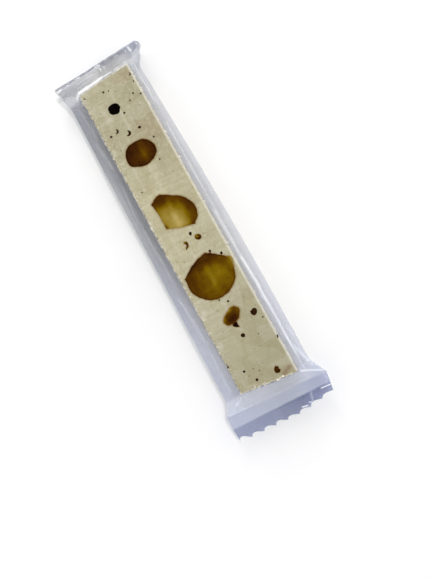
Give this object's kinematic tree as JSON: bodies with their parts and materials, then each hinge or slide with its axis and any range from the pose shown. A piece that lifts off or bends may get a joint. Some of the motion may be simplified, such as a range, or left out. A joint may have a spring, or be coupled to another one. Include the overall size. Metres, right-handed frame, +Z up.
{
  "type": "wrapped nougat bar",
  "caption": "Rectangular bar of nougat with whole nuts in a clear flow-wrapped film, crimped at both ends, one end fin folded under.",
  "frame": {"origin": "middle of the bar on the flat underside of the back seam", "axes": "+X along the bar towards the fin that stands out flat, +Y across it, +Z up through the cut face"},
  "size_m": [0.1428, 0.0369, 0.0125],
  "materials": {
    "clear_film": "clear glossy packing film",
    "nougat": "dense ivory nougat, knife-cut",
    "nut": "cut roasted nut, slightly glassy",
    "pore": "toasted crumb and deep pore"
  },
  "bodies": {
    "root": {"wrapped_bar": "clear_film"}
  },
  "joints": []
}
